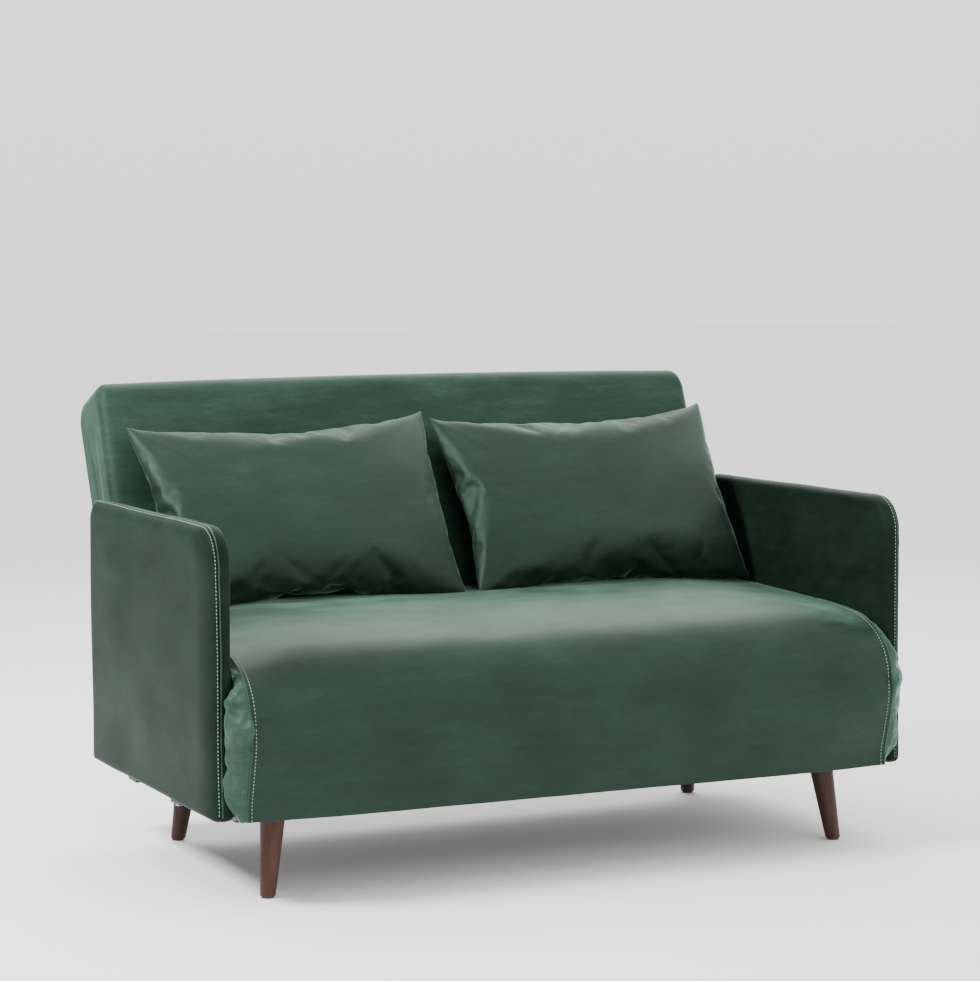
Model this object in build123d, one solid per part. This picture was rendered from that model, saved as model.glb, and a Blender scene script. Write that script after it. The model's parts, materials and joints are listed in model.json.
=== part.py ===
"""Two-seat futon sofa bed: fixed base, reclining back and a fold-forward upper seat layer.

Millimetres. X is across the sofa, Y points to the back, Z is up, and Z = 0 is the floor.
The origin is on the floor below the middle of the whole sofa.
"""
import os
from math import cos, radians, sin, tan

from build123d import *

os.makedirs("parts", exist_ok=True)

# Overall
ARM_OUTER = 690.0
ARM_INNER = 648.0
ARM_TOP = 652.0
BASE_BOTTOM = 149.0
FOLD_Y = -489.9  # the fold line at the front of the seat
FOLD_Z = 316.0  # also the height of the bed
SIDES = {"left": -1, "right": 1}

# Arms
ARM_FRONT_Y = FOLD_Y + 48
ARM_REAR_Y = FOLD_Y + 778
ARM_CORE_INNER = 660.0
ARM_CORE_OUTER = 678.0
ARM_PAD_DEPTH = 12.0

# Base frame
RAIL_WIDTH = 40.0
RAIL_HEIGHT = 20.0
RAIL_TOP = BASE_BOTTOM + RAIL_HEIGHT
WALL = 2.0
RAIL_OUTER = 640.0
FRONT_RAIL_Y = FOLD_Y + 54
REAR_RAIL_Y = FOLD_Y + 644
CROSS_TUBE_X = 210.0
SLAT_THICK = 8.0
SLAT_WIDTH = 60.0
SLAT_COUNT = 8
SLAT_HALF = 596.0

# Legs
LEG_PLATE = 5.0
LEG_TOP = BASE_BOTTOM - LEG_PLATE
GLIDE_HEIGHT = 4.0
GLIDE_RADIUS = 11.0
LEG_FOOT_RADIUS = 13.5
LEG_TOP_RADIUS = 22.5
LEG_SPLAY = 7.0
LEG_FEET = {"front": (570.0, FOLD_Y + 109), "rear": (553.0, FOLD_Y + 657)}
PLATE_HALF = 58.0
STUD_RADIUS = 4.0

# Seat layers
PAD_HALF = 630.0
SEAT_TOP = 457.0
SLEEP_GAP = 2.0
FRONT_RADIUS = 88.0
SEAT_BACK_GAP = 6.0

# Back
BACK_PIVOT = (FOLD_Y + 626, FOLD_Z)
BACK_LEAN = 21.0
BACK_RECLINE = 90 - BACK_LEAN
BACK_LENGTH = 605.0
BACK_THICK_LOW = 128.0
BACK_THICK_TOP = 168.0

# Hinges, in the pockets between the pads and the arms
TUBE = 25.0
TUBE_OUTER = 633.0
MOVING_PLATE = (633.0, 637.0)
FIXED_PLATE = (640.0, 645.0)
PIN_RADIUS = 4.0
PIN_CLEARANCE = 0.05
FOLD_EYE = 7.0
BACK_EYE = 14.0

# Foot legs
FOOT_FRAME_Z = 388.0
FOOT_LEG_Y = FOLD_Y + 590
FOOT_LEG_LENGTH = 2 * FOLD_Z - FOOT_FRAME_Z
FOOT_LEG_WIDTH = 26.0
FOOT_LEG_PLATE = (633.5, 637.5)
RUBBER_FOOT = 14.0
SHOE = (633.5, 641.0)

# Scatter cushions
CUSHION_WIDTH = 600.0
CUSHION_HEIGHT = 396.0
CUSHION_THICK = 128.0
CUSHION_LEAN = 34.0
CUSHION_X = {"left": -298.0, "right": 332.0}
CUSHION_BOTTOM = (FOLD_Y + 537, SEAT_TOP + 4)
COVER_THICK = 2.0


def save(name, *solids):
    """Write one node; several separate solids share it as a group."""
    shape = solids[0] if len(solids) == 1 else Compound(children=list(solids))
    export_step(shape, f"parts/{name}.step")
    print(name, len(solids))


def block(x, y, z):
    """A box from its (low, high) extents along each axis."""
    centre = [(low + high) / 2 for low, high in (x, y, z)]
    return Pos(*centre) * Box(x[1] - x[0], y[1] - y[0], z[1] - z[0])


def span(side, low, high):
    """Extents along X on one side of the sofa, given as distances from the middle."""
    return tuple(sorted((side * low, side * high)))


def profile(points, x_low, x_high):
    """Extrude a closed outline in (Y, Z) from x_low to x_high."""
    wire = Polyline(*points, close=True)
    face = Plane.YZ * make_face(wire)
    return Pos(x_low, 0, 0) * extrude(face, amount=x_high - x_low)


def tube(x, y, z, along):
    """A rectangular steel tube, open at its ends, along axis 'X' or 'Y'."""
    solid = block(x, y, z)
    inner = [(low + WALL, high - WALL) for low, high in (x, y, z)]
    run = "XY".index(along)
    inner[run] = ((x, y)[run][0] - 1, (x, y)[run][1] + 1)
    return solid - block(*inner)


def rod_x(x, y, z, radius):
    """A round bar along X."""
    middle = (x[0] + x[1]) / 2
    return Pos(middle, y, z) * Rot(0, 90, 0) * Cylinder(radius, x[1] - x[0])


def bar_plate(x, start, end, width, end_width=None):
    """A flat bar in a plane across X, with a round end at start and at end, both (Y, Z)."""
    run = Vector(end[0] - start[0], end[1] - start[1])
    angle = Vector(1, 0).get_signed_angle(run, Vector(0, 0, 1))
    middle = ((start[0] + end[0]) / 2, (start[1] + end[1]) / 2)
    flat = Pos((x[0] + x[1]) / 2, *middle) * Rot(angle, 0, 0) * Box(x[1] - x[0], run.length, width)
    ends = [rod_x(x, *start, width / 2), rod_x(x, *end, (end_width or width) / 2)]
    return flat + ends[0] + ends[1]


def on_back(along, through):
    """A point of the back: distance up its front face, and depth behind that face."""
    lean = radians(BACK_LEAN)
    y = BACK_PIVOT[0] + along * sin(lean) + through * cos(lean)
    z = BACK_PIVOT[1] + along * cos(lean) - through * sin(lean)
    return y, z


def back_bar(x, along, through, hollow=None):
    """A bar of the back frame, square to the back's front face."""
    y, z = on_back(sum(along) / 2, sum(through) / 2)
    size = (x[1] - x[0], through[1] - through[0], along[1] - along[0])
    place = Pos((x[0] + x[1]) / 2, y, z) * Rot(-BACK_LEAN, 0, 0)
    solid = Box(*size)
    if hollow:
        bore = [extent - 2 * WALL for extent in size]
        bore["XYZ".index(hollow)] = size["XYZ".index(hollow)] + 2
        solid -= Box(*bore)
    return place * solid


# Base ---------------------------------------------------------------------------------------

def rails():
    height = (BASE_BOTTOM, RAIL_TOP)
    front = (FRONT_RAIL_Y, FRONT_RAIL_Y + RAIL_WIDTH)
    rear = (REAR_RAIL_Y, REAR_RAIL_Y + RAIL_WIDTH)
    inner = RAIL_OUTER - RAIL_WIDTH
    save("front_rail", tube((-inner, inner), front, height, "X"))
    save("rear_rail", tube((-inner, inner), rear, height, "X"))
    for name, side in SIDES.items():
        save(f"side_rail_{name}", tube(span(side, inner, RAIL_OUTER), (front[0], rear[1]), height, "Y"))
    tubes = []
    for side in SIDES.values():
        across = span(side, CROSS_TUBE_X, CROSS_TUBE_X + RAIL_WIDTH)
        tubes.append(tube(across, (front[1], rear[0]), height, "Y"))
    save("cross_tubes", *tubes)


def leg_axis(x, y):
    """The points where a leg's axis meets the floor and the top of the leg."""
    inward = LEG_TOP * tan(radians(LEG_SPLAY))
    out_y = -1 if y < (LEG_FEET["front"][1] + LEG_FEET["rear"][1]) / 2 else 1
    return Vector(x, y, 0), Vector(x - inward * (1 if x > 0 else -1), y - inward * out_y, LEG_TOP)


def leg_places():
    for row, (x, y) in LEG_FEET.items():
        for name, side in SIDES.items():
            yield f"{row}_{name}", leg_axis(side * x, y)


def plate_box(top):
    """A leg plate reaches from inside the leg to the outer face of the side rail."""
    side = 1 if top.X > 0 else -1
    inner = abs(top.X) - PLATE_HALF + 14
    low_y = max(top.Y - PLATE_HALF, FRONT_RAIL_Y)
    return block(span(side, inner, RAIL_OUTER), (low_y, top.Y + PLATE_HALF), (LEG_TOP, BASE_BOTTOM))


def legs():
    studs, glides, plates, screws = [], [], [], []
    for name, (foot, top) in leg_places():
        axis = top - foot
        plane = Plane(origin=foot - axis * 0.1, z_dir=axis)
        taper = (LEG_TOP_RADIUS - LEG_FOOT_RADIUS) / axis.length
        length = axis.length * 1.2
        low = LEG_FOOT_RADIUS - taper * axis.length * 0.1
        cone = plane * Cone(low, low + taper * length, length, align=(Align.CENTER, Align.CENTER, Align.MIN))
        room = Pos(top.X, top.Y, (GLIDE_HEIGHT + LEG_TOP) / 2) * Box(200, 200, LEG_TOP - GLIDE_HEIGHT)
        stud = Pos(top.X, top.Y, LEG_TOP - 4) * Cylinder(STUD_RADIUS, 36)
        save(f"leg_{name}", (cone & room) - stud)
        studs.append(stud)
        glides.append(Pos(foot.X, foot.Y, GLIDE_HEIGHT / 2) * Cylinder(GLIDE_RADIUS, GLIDE_HEIGHT))
        plates.append(plate_box(top) - stud)
        for dx in (-34, 34):
            for dy in (-42, 42):
                head = Pos(top.X + dx, top.Y + dy, LEG_TOP - 1.5) * Cylinder(5, 3)
                screws.append(head)
    save("leg_studs", *studs)
    save("leg_glides", *glides)
    save("leg_plates", *plates)
    save("leg_plate_screws", *screws)


def slats():
    first = FRONT_RAIL_Y + RAIL_WIDTH + 6
    last = REAR_RAIL_Y - SLAT_WIDTH - 6
    bars, holders = [], []
    for index in range(SLAT_COUNT):
        y = first + (last - first) * index / (SLAT_COUNT - 1)
        reach = (y, y + SLAT_WIDTH)
        bars.append(block((-SLAT_HALF, SLAT_HALF), reach, (RAIL_TOP, RAIL_TOP + SLAT_THICK)))
        for side in SIDES.values():
            across = span(side, SLAT_HALF, SLAT_HALF + 20)
            holders.append(block(across, reach, (RAIL_TOP, RAIL_TOP + SLAT_THICK)))
    save("seat_slats", *bars)
    save("slat_holders", *holders)


def lower_layer():
    rear = BACK_PIVOT[0] - 5
    across = (-PAD_HALF, PAD_HALF)
    pad = block(across, (FOLD_Y + 1, rear), (RAIL_TOP + SLAT_THICK + 1, FOLD_Z - SLEEP_GAP))
    save("lower_seat_layer", pad)
    apron = block(across, (FOLD_Y + 8, FRONT_RAIL_Y - 1), (BASE_BOTTOM, RAIL_TOP + SLAT_THICK))
    save("front_apron", apron)


def dust_cover():
    thick = 1.0
    inner = RAIL_OUTER - 6
    sheet = block((-inner, inner), (FRONT_RAIL_Y + 2, REAR_RAIL_Y + 38), (BASE_BOTTOM - thick, BASE_BOTTOM))
    for _, (_, top) in leg_places():
        sheet -= plate_box(top)
    for bracket in arm_bracket_boxes():
        sheet -= bracket
    save("dust_cover", sheet)


def back_stops():
    stops = []
    for side in SIDES.values():
        across = span(side, 480, 540)
        stops.append(block(across, (REAR_RAIL_Y + 5, REAR_RAIL_Y + 35), (RAIL_TOP, RAIL_TOP + 12)))
    save("back_rest_stops", *stops)


# Arms ---------------------------------------------------------------------------------------

def arm_face(front, rear, bottom, top, front_radius, rear_radius):
    """The side outline of an arm, with its two upper corners rounded."""
    outline = Plane.YZ * make_face(Polyline((front, bottom), (rear, bottom), (rear, top), (front, top), close=True))
    corners = outline.vertices().sort_by(Axis.Z)[-2:].sort_by(Axis.Y)
    outline = fillet(corners[0], front_radius)
    corners = outline.vertices().sort_by(Axis.Z)
    rear_corner = min(corners, key=lambda v: (v.Y - rear) ** 2 + (v.Z - top) ** 2)
    return fillet(rear_corner, rear_radius)


def arms():
    for name, side in SIDES.items():
        x_low, x_high = span(side, ARM_INNER, ARM_OUTER)
        skin = Pos(x_low, 0, 0) * extrude(
            arm_face(ARM_FRONT_Y, ARM_REAR_Y, BASE_BOTTOM, ARM_TOP, 66, 46), amount=x_high - x_low)
        rim = [edge for edge in skin.edges() if edge.bounding_box().size.X < 1]
        skin = fillet([edge for edge in rim if edge.bounding_box().max.Z > BASE_BOTTOM + 1], 9)
        core_low, core_high = span(side, ARM_CORE_INNER, ARM_CORE_OUTER)
        margin = ARM_PAD_DEPTH
        outline = arm_face(ARM_FRONT_Y + margin, ARM_REAR_Y - margin, BASE_BOTTOM, ARM_TOP - margin, 54, 34)
        core = Pos(core_low, 0, 0) * extrude(outline, amount=core_high - core_low)
        save(f"arm_core_{name}", core)
        save(f"arm_cover_{name}", skin - core)


def arm_bracket_boxes():
    boxes = []
    for side in SIDES.values():
        for y in (FOLD_Y + 262, FOLD_Y + 512):
            across = span(side, RAIL_OUTER - RAIL_WIDTH, ARM_CORE_OUTER)
            boxes.append(block(across, (y, y + 50), (LEG_TOP, BASE_BOTTOM)))
    return boxes


def arm_brackets():
    boxes = arm_bracket_boxes()
    save("arm_brackets", *boxes)
    bolts = []
    for box in boxes:
        extent = box.bounding_box()
        middle_y = (extent.min.Y + extent.max.Y) / 2
        for reach in (RAIL_OUTER - RAIL_WIDTH / 2, (ARM_CORE_INNER + ARM_CORE_OUTER) / 2):
            x = reach if extent.max.X > 0 else -reach
            bolts.append(Pos(x, middle_y, LEG_TOP - 2) * Cylinder(7, 4))
    save("arm_bolts", *bolts)


# Hinges -------------------------------------------------------------------------------------

def hinges():
    """Back and fold hinges: a fixed bar with a pin on each rail, and a moving arm on each pad frame."""
    fold = (FOLD_Y, FOLD_Z)
    places = {
        "back_hinge": (BACK_PIVOT, (BACK_PIVOT[0], RAIL_TOP - 10), BACK_EYE,
                       on_back(190, TUBE / 2 + 45)),
        "fold_hinge": (fold, (FOLD_Y + 80, RAIL_TOP - 10), FOLD_EYE,
                       (FOLD_Y + 110, FOOT_FRAME_Z)),
    }
    for hinge, (pivot, foot, eye, tip) in places.items():
        fixed, pins = [], []
        for name, side in SIDES.items():
            pin = rod_x(span(side, MOVING_PLATE[0], FIXED_PLATE[1]), *pivot, PIN_RADIUS)
            bore = rod_x(span(side, MOVING_PLATE[0] - 1, MOVING_PLATE[1] + 1), *pivot, PIN_RADIUS + PIN_CLEARANCE)
            fixed.append(bar_plate(span(side, *FIXED_PLATE), pivot, foot, 2 * eye) - pin)
            pins.append(pin)
            moving = bar_plate(span(side, *MOVING_PLATE), pivot, tip, 2 * eye)
            save(f"{hinge}_arm_{name}", moving - bore)
        save(f"{hinge}_brackets", *fixed)
        save(f"{hinge}_pins", *pins)


# Foot section -------------------------------------------------------------------------------

def foot_frame_tubes():
    height = (FOOT_FRAME_Z - TUBE / 2, FOOT_FRAME_Z + TUBE / 2)
    inner = TUBE_OUTER - TUBE
    front, rear = FOLD_Y + 70, FOOT_LEG_Y + 24
    tubes = {
        "foot_frame_left": tube(span(-1, inner, TUBE_OUTER), (front, rear), height, "Y"),
        "foot_frame_right": tube(span(1, inner, TUBE_OUTER), (front, rear), height, "Y"),
        "foot_frame_front": tube((-inner, inner), (front, front + TUBE), height, "X"),
        "foot_frame_rear": tube((-inner, inner), (rear - TUBE, rear), height, "X"),
    }
    for index, name in enumerate(("foot_cross_tube_front", "foot_cross_tube_rear")):
        y = front + (rear - front) * (index + 1) / 3
        tubes[name] = tube((-inner, inner), (y - TUBE / 2, y + TUBE / 2), height, "X")
    return tubes


def foot_section():
    tubes = foot_frame_tubes()
    for name, solid in tubes.items():
        save(name, solid)
    bottom = FOLD_Z + SLEEP_GAP
    front = FOLD_Y + 1
    slope = tan(radians(BACK_LEAN))
    rear = BACK_PIVOT[0] - SEAT_BACK_GAP
    top_rear = rear + (SEAT_TOP - FOLD_Z) * slope
    outline = ((front, bottom), (rear + SLEEP_GAP * slope, bottom), (top_rear, SEAT_TOP), (front, SEAT_TOP))
    pad = profile(outline, -PAD_HALF, PAD_HALF)
    top_front = pad.edges().filter_by(Axis.X).sort_by(lambda e: e.center().Y - e.center().Z)[0]
    pad = fillet(top_front, FRONT_RADIUS)
    for solid in tubes.values():
        extent = solid.bounding_box()
        pad -= block((extent.min.X, extent.max.X), (extent.min.Y, extent.max.Y), (extent.min.Z, extent.max.Z))
    save("foot_section_pad", pad)


def foot_legs():
    """Flat bars that lie along the sides of the upper layer and swing down at its far end."""
    pivot = (FOOT_LEG_Y, FOOT_FRAME_Z)
    pins = []
    for name, side in SIDES.items():
        tip = (FOOT_LEG_Y - FOOT_LEG_LENGTH + RUBBER_FOOT + FOOT_LEG_WIDTH / 2, FOOT_FRAME_Z)
        bar = bar_plate(span(side, *FOOT_LEG_PLATE), pivot, tip, FOOT_LEG_WIDTH)
        bore = rod_x(span(side, FOOT_LEG_PLATE[0] - 1, FOOT_LEG_PLATE[1] + 1), *pivot, PIN_RADIUS + PIN_CLEARANCE)
        low = FOOT_LEG_Y - FOOT_LEG_LENGTH
        shoe = block(span(side, *SHOE), (low, low + 2.6 * RUBBER_FOOT),
                     (FOOT_FRAME_Z - 15, FOOT_FRAME_Z + 15))
        save(f"foot_leg_{name}", bar - bore)
        save(f"foot_leg_shoe_{name}", shoe - bar)
        pins.append(rod_x(span(side, TUBE_OUTER, 641), *pivot, PIN_RADIUS))
    save("foot_leg_pins", *pins)


# Back ---------------------------------------------------------------------------------------

def back_frame_bars():
    depth = (45, 45 + TUBE)
    inner = TUBE_OUTER - TUBE
    ends = (24, BACK_LENGTH - 40)
    bars = {
        "back_frame_left": (span(-1, inner, TUBE_OUTER), ends, depth, "Z"),
        "back_frame_right": (span(1, inner, TUBE_OUTER), ends, depth, "Z"),
        "back_frame_bottom": ((-inner, inner), (ends[0], ends[0] + TUBE), depth, "X"),
        "back_frame_top": ((-inner, inner), (ends[1] - TUBE, ends[1]), depth, "X"),
    }
    return bars


def back():
    bars = back_frame_bars()
    lean = radians(BACK_LEAN)
    outline = (on_back(0, 0), on_back(0, BACK_THICK_LOW), on_back(BACK_LENGTH, BACK_THICK_TOP),
               on_back(BACK_LENGTH, 0))
    pad = profile(outline, -PAD_HALF - 8, PAD_HALF + 8)
    top_edges = pad.edges().filter_by(Axis.X).sort_by(
        lambda e: e.center().Y * sin(lean) + e.center().Z * cos(lean))[-2:]
    pad = fillet(top_edges, 36)
    side_edges = [e for e in pad.edges() if e.bounding_box().size.X < 1 and e.center().Z > ARM_TOP]
    pad = fillet(side_edges, 12)
    for name, (x, along, through, hollow) in bars.items():
        save(name, back_bar(x, along, through, hollow))
        pad -= back_bar(x, along, through)
    pockets = [block(span(side, PAD_HALF, PAD_HALF + 9), (0, 700), (0, 560)) for side in SIDES.values()]
    for pocket in pockets:
        pad -= pocket
    springs = []
    low, high = 24 + TUBE, BACK_LENGTH - 40 - TUBE
    for index in range(7):
        x = -450 + 150 * index
        springs.append(back_bar((x - 2, x + 2), (low, high), (55, 59)))
    for spring in springs:
        pad -= spring
    save("back_springs", *springs)
    save("back_pad", pad)


# Scatter cushions ---------------------------------------------------------------------------

def pillow(width, height, thick):
    """A flat-edged lens: its rim lies in one plane and both faces rise to a smaller middle."""
    rim = Rectangle(width, height)
    halves = []
    for way in (1, -1):
        crown = Pos(0, 0, way * thick / 2) * Rectangle(width * 0.5, height * 0.42)
        shoulder = Pos(0, 0, way * thick * 0.36) * Rectangle(width * 0.8, height * 0.75)
        halves.append(loft([rim, shoulder, crown], ruled=True))
    return halves[0] + halves[1]


def cushions():
    lean = radians(CUSHION_LEAN)
    centre_y = CUSHION_BOTTOM[0] + CUSHION_HEIGHT / 2 * sin(lean)
    centre_z = CUSHION_BOTTOM[1] + CUSHION_HEIGHT / 2 * cos(lean)
    for name, x in CUSHION_X.items():
        place = Pos(x, centre_y, centre_z) * Rot(90 - CUSHION_LEAN, 0, 0)
        outer = place * pillow(CUSHION_WIDTH, CUSHION_HEIGHT, CUSHION_THICK)
        inner = place * pillow(CUSHION_WIDTH - 8 * COVER_THICK, CUSHION_HEIGHT - 8 * COVER_THICK,
                               CUSHION_THICK - 2 * COVER_THICK)
        save(f"cushion_cover_{name}", outer - inner)
        save(f"cushion_filling_{name}", inner)


rails()
legs()
slats()
lower_layer()
dust_cover()
back_stops()
arms()
arm_brackets()
hinges()
foot_section()
foot_legs()
back()
cushions()
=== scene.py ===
"""Looks for the two-seat velvet futon sofa bed. Metres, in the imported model's own frame."""
import json
import math

import bmesh
import bpy
from mathutils import Euler, Matrix, Vector, noise


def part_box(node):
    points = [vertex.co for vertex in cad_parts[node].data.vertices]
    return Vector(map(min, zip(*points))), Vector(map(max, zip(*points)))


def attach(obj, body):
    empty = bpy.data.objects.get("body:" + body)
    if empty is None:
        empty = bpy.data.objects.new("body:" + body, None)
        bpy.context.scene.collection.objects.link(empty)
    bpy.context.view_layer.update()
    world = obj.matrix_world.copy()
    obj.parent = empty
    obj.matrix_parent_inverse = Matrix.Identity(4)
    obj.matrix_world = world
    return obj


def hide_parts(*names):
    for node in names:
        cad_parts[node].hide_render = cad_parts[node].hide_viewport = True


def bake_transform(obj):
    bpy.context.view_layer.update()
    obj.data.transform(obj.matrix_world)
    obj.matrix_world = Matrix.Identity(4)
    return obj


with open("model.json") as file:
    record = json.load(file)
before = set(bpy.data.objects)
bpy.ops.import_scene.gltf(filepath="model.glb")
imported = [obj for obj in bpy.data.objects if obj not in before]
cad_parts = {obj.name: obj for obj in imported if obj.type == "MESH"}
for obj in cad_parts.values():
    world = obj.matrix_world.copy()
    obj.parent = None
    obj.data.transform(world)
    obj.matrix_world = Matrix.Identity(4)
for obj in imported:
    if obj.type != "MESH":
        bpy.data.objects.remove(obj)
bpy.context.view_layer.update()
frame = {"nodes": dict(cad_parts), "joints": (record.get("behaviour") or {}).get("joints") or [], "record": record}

MM = 0.001
SIDES = {"left": -1, "right": 1}

# Places, read from the frame or worked out from it
ARM_LOW, ARM_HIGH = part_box("arm_cover_right")
UPPER_LOW, UPPER_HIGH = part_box("foot_section_pad")
LOWER_LOW, LOWER_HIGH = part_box("lower_seat_layer")
APRON_LOW, APRON_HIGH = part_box("front_apron")
JOINTS = {joint["name"]: joint for joint in frame["joints"]}
FOLD = Vector(JOINTS["seat_unfold"]["pos_m"])
BACK_PIVOT = Vector(JOINTS["back_recline"]["pos_m"])
BACK_LEAN = math.radians(90 - JOINTS["back_recline"]["range_deg"][1])
PAD_SIDE = UPPER_HIGH.x + 3.2 * MM  # half the seat cover's width


# Small helpers ------------------------------------------------------------------------------

def smoothstep(value, start, end):
    t = min(max((value - start) / (end - start), 0.0), 1.0)
    return t * t * (3 - 2 * t)


def lerp(a, b, t):
    return a + (b - a) * t


def steps(start, end, count):
    """Evenly spaced values from start to end, both included."""
    return [lerp(start, end, i / (count - 1)) for i in range(count)]


def direction_at(line, index):
    """The unit direction of a line of points beside one of them."""
    return (line[min(index + 1, len(line) - 1)] - line[max(index - 1, 0)]).normalized()


def catmull(points, per_span):
    """A smooth line through points, as a list of 2-D vectors."""
    padded = [points[0] * 2 - points[1]] + points + [points[-1] * 2 - points[-2]]
    line = []
    for a, b, c, d in zip(padded, padded[1:], padded[2:], padded[3:]):
        for step in range(per_span):
            t = step / per_span
            line.append(0.5 * (2 * b + (c - a) * t + (2 * a - 5 * b + 4 * c - d) * t ** 2
                               + (3 * b - a - 3 * c + d) * t ** 3))
    return line + [points[-1]]


def add_mesh(name, verts, faces):
    mesh = bpy.data.meshes.new(name)
    mesh.from_pydata([tuple(v) for v in verts], [], faces)
    mesh.validate()
    mesh.polygons.foreach_set("use_smooth", [True] * len(mesh.polygons))
    obj = bpy.data.objects.new(name, mesh)
    bpy.context.scene.collection.objects.link(obj)
    return obj


def bridge_faces(rows, per_row, closed):
    """Quads between rows of points that follow each other in one list."""
    faces = []
    for row in range(rows - 1):
        base = row * per_row
        for i in range(per_row if closed else per_row - 1):
            j = (i + 1) % per_row
            faces.append((base + i, base + j, base + per_row + j, base + per_row + i))
    return faces


def closed_loft(name, rings):
    """A closed skin through equal rings of points, with a fan to the middle of each end ring."""
    count = len(rings[0])
    verts = [v for ring in rings for v in ring]
    faces = bridge_faces(len(rings), count, True)
    for ring_index, flip in ((0, True), (len(rings) - 1, False)):
        centre = sum(rings[ring_index], Vector()) / count
        verts.append(centre)
        base = ring_index * count
        for i in range(count):
            a, b = base + i, base + (i + 1) % count
            faces.append((b, a, len(verts) - 1) if flip else (a, b, len(verts) - 1))
    obj = add_mesh(name, verts, faces)
    face_outward(obj)
    return obj


def face_outward(obj):
    """Turn every face so that its normal points out of the closed skin."""
    work = bmesh.new()
    work.from_mesh(obj.data)
    bmesh.ops.recalc_face_normals(work, faces=work.faces)
    work.to_mesh(obj.data)
    work.free()


def apply_modifiers(obj):
    """Keep what the modifiers make as the object's own mesh."""
    graph = bpy.context.evaluated_depsgraph_get()
    mesh = bpy.data.meshes.new_from_object(obj.evaluated_get(graph))
    obj.modifiers.clear()
    old = obj.data
    obj.data = mesh
    bpy.data.meshes.remove(old)
    mesh.polygons.foreach_set("use_smooth", [True] * len(mesh.polygons))
    return obj


def subdivide(obj):
    modifier = obj.modifiers.new("subdivision", "SUBSURF")
    modifier.levels = modifier.render_levels = 1
    return apply_modifiers(obj)


def rumple(obj, height, size, share=lambda p: 1.0, seed=0.0, stretch=(1, 1, 1)):
    """Move each point along its normal by soft noise: the give of cloth over foam."""
    offset = Vector((seed, seed * 1.7, -seed))
    normals = [v.normal.copy() for v in obj.data.vertices]
    for vertex, normal in zip(obj.data.vertices, normals):
        p = vertex.co
        sample = Vector((p.x * stretch[0], p.y * stretch[1], p.z * stretch[2])) / size + offset
        vertex.co = p + normal * (height * share(p) * noise.noise(sample))
    obj.data.update()


CORNER_STEPS, EDGE_STEPS = 10, 22


def rounded_outline(low, high, radii):
    """A box outline with four rounded corners, as 2-D vectors, counter-clockwise from (low, low)."""
    corners = (
        (low[0], low[1], 1, 1),
        (high[0], low[1], -1, 1),
        (high[0], high[1], -1, -1),
        (low[0], high[1], 1, -1),
    )
    line = []
    for index, (u, v, to_u, to_v) in enumerate(corners):
        radius = radii[index]
        centre = Vector((u + to_u * radius, v + to_v * radius))
        for angle in steps(180 + 90 * index, 270 + 90 * index, CORNER_STEPS + 1):
            turn = math.radians(angle)
            line.append(centre + radius * Vector((math.cos(turn), math.sin(turn))))
    full = []
    per_corner = CORNER_STEPS + 1
    for index in range(4):
        full += line[index * per_corner:(index + 1) * per_corner]
        start = line[(index + 1) * per_corner - 1]
        end = line[((index + 1) * per_corner) % len(line)]
        full += [start.lerp(end, i / EDGE_STEPS) for i in range(1, EDGE_STEPS)]
    return full


def resample(line, count):
    """The same line with count evenly spaced points."""
    lengths = [0.0]
    for a, b in zip(line, line[1:]):
        lengths.append(lengths[-1] + (b - a).length)
    out, span = [], 0
    for target in steps(0.0, lengths[-1], count):
        while span < len(line) - 2 and lengths[span + 1] < target:
            span += 1
        run = max(lengths[span + 1] - lengths[span], 1e-9)
        out.append(line[span].lerp(line[span + 1], min(max((target - lengths[span]) / run, 0), 1)))
    return out


def on_surface(line, obj, lift):
    """The line laid onto the object's surface and raised by lift."""
    laid = []
    for point in line:
        found, place, normal, _ = obj.closest_point_on_mesh(point)
        laid.append(place + normal * lift if found else point)
    return laid


# Camera, light and floor ----------------------------------------------------------------------

CAMERA_PLACE = (-2.2231, -4.9711, 1.0885)
CAMERA_TURN = (24.4, 4.5, -0.4)  # degrees to the right, down, and about the line of sight
CAMERA_LENS, CAMERA_SENSOR = 104.3, 36.0  # millimetres


def make_camera():
    yaw, pitch, roll = (math.radians(angle) for angle in CAMERA_TURN)
    forward = Vector((
        math.sin(yaw) * math.cos(pitch),
        math.cos(yaw) * math.cos(pitch),
        -math.sin(pitch)))
    level = Vector((math.cos(yaw), -math.sin(yaw), 0))
    above = level.cross(forward)
    right = math.cos(roll) * level + math.sin(roll) * above
    up = math.cos(roll) * above - math.sin(roll) * level
    data = bpy.data.cameras.new("camera")
    data.lens = CAMERA_LENS
    data.sensor_width = CAMERA_SENSOR
    camera = bpy.data.objects.new("camera", data)
    bpy.context.scene.collection.objects.link(camera)
    camera.matrix_world = Matrix((
        (right.x, up.x, -forward.x, CAMERA_PLACE[0]),
        (right.y, up.y, -forward.y, CAMERA_PLACE[1]),
        (right.z, up.z, -forward.z, CAMERA_PLACE[2]),
        (0, 0, 0, 1)))
    bpy.context.scene.camera = camera


def area_light(name, place, aim, size, power):
    data = bpy.data.lights.new(name, "AREA")
    data.shape = "RECTANGLE"
    data.size, data.size_y = size
    data.energy = power
    light = bpy.data.objects.new(name, data)
    light.location = place
    light.rotation_euler = (Vector(aim) - Vector(place)).to_track_quat("-Z", "Y").to_euler()
    bpy.context.scene.collection.objects.link(light)


def make_studio():
    area_light("key_from_behind", place=(0.9, 2.4, 3.1), aim=(0, 0.1, 0.4), size=(3.4, 1.4), power=80)
    area_light("upper_left", place=(-2.6, -0.1, 2.5), aim=(0.2, 0.1, 0.6), size=(0.9, 0.7), power=190)
    area_light("front_fill", place=(1.2, -4.4, 2.3), aim=(0, 0, 0.4), size=(3.0, 1.6), power=30)
    bpy.context.scene.world = make_world()


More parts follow.
